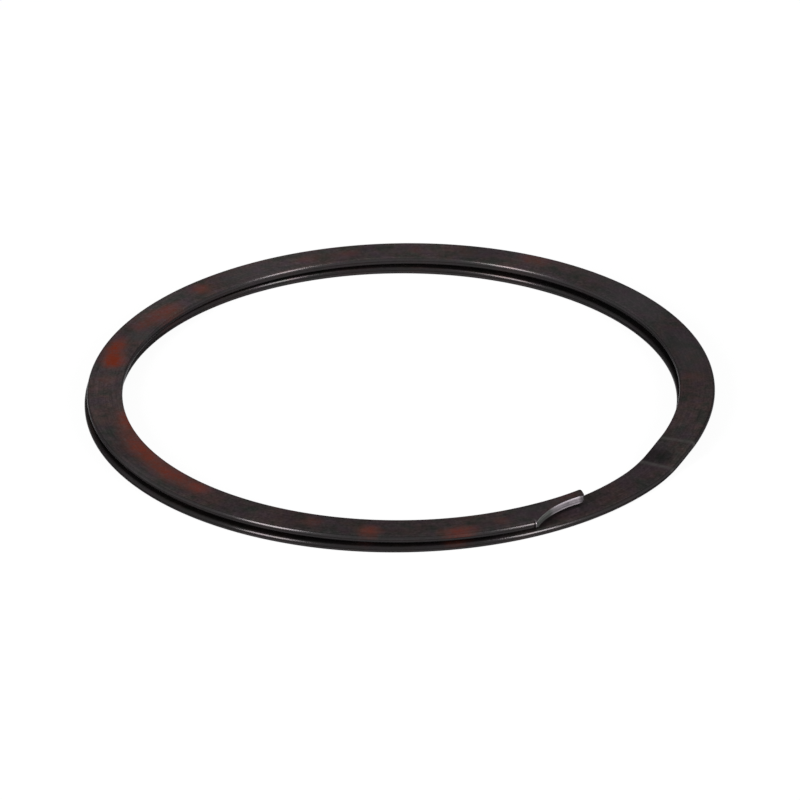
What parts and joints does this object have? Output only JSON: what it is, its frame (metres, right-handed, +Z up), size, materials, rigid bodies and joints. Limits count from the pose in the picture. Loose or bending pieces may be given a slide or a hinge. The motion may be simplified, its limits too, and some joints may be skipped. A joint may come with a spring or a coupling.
{
  "type": "spiral retaining ring",
  "caption": "Spiral retaining ring of flat spring wire that springs out into a groove in a bored housing; an offset bend joins its turns and each end has a removal scallop.",
  "frame": {"origin": "on the ring's axis, at the lower face of the lower turn, which the free ring rests on", "axes": "+Z up along the ring's axis, +X towards the right of the picture and +Y away from its camera; the offset bend lies 27.3 degrees clockwise of +X seen from above"},
  "size_m": [0.081, 0.081, 0.0025],
  "materials": {
    "oiled_spring_steel": "dark brown-black oiled spring steel with rust blooms on the upper face"
  },
  "bodies": {
    "root": {"spiral_ring": "oiled_spring_steel"}
  },
  "joints": []
}
